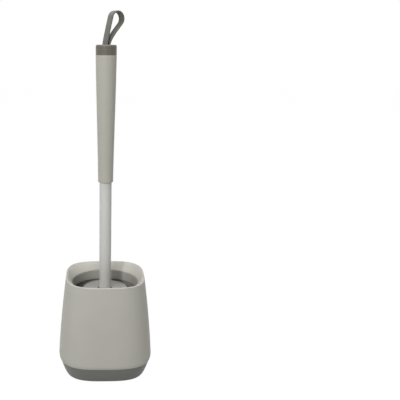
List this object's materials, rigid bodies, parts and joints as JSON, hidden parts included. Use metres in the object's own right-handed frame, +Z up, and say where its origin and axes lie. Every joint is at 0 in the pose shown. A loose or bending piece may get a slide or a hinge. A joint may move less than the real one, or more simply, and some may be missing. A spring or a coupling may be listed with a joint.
{
  "type": "toilet brush set",
  "caption": "Rounded-square toilet brush pot with a funnel mouth and drip cup, and a lift-out brush with a rubber-bristled head, a splash disc, a tapered grip and a strap.",
  "frame": {"origin": "on the table, under the middle of the pot", "axes": "+Z up along the brush; -Y is the front that the picture shows; +X to the right"},
  "size_m": [0.105, 0.105, 0.3968],
  "materials": {
    "pot_plastic": "satin moulded",
    "cup_plastic": "satin moulded",
    "base_plastic": "satin moulded",
    "pad_rubber": "matt",
    "grip_plastic": "satin moulded",
    "cap_plastic": "satin moulded",
    "pin_steel": "bright",
    "strap_webbing": "woven webbing",
    "tube_satin": "satin",
    "disc_plastic": "gloss",
    "core_plastic": "moulded",
    "bristle_rubber": "satin rubber"
  },
  "bodies": {
    "holder": {"holder_shell": "pot_plastic", "drip_cup": "cup_plastic", "base_cover": "base_plastic", "base_pads": "pad_rubber"},
    "brush": {"grip": "grip_plastic", "end_cap": "cap_plastic", "strap_pin": "pin_steel", "handle_tube": "tube_satin", "tube_end_plug": "core_plastic", "splash_disc": "disc_plastic", "head_core": "core_plastic", "core_screw": "pin_steel", "bristle_head": "bristle_rubber"},
    "strap": {"hang_strap": "strap_webbing"}
  },
  "joints": [
    {"name": "brush_lift", "type": "slide", "parent": "holder", "child": "brush", "axis": [0, 0, 1], "range_m": [0, 0.13]},
    {"name": "strap_swing", "type": "hinge", "parent": "brush", "child": "strap", "pos_m": [0, 0, 0.3606], "axis": [-0.5736, 0.8192, 0], "range_deg": [-30, 18], "stiffness_Nm_per_rad": 0.02}
  ]
}
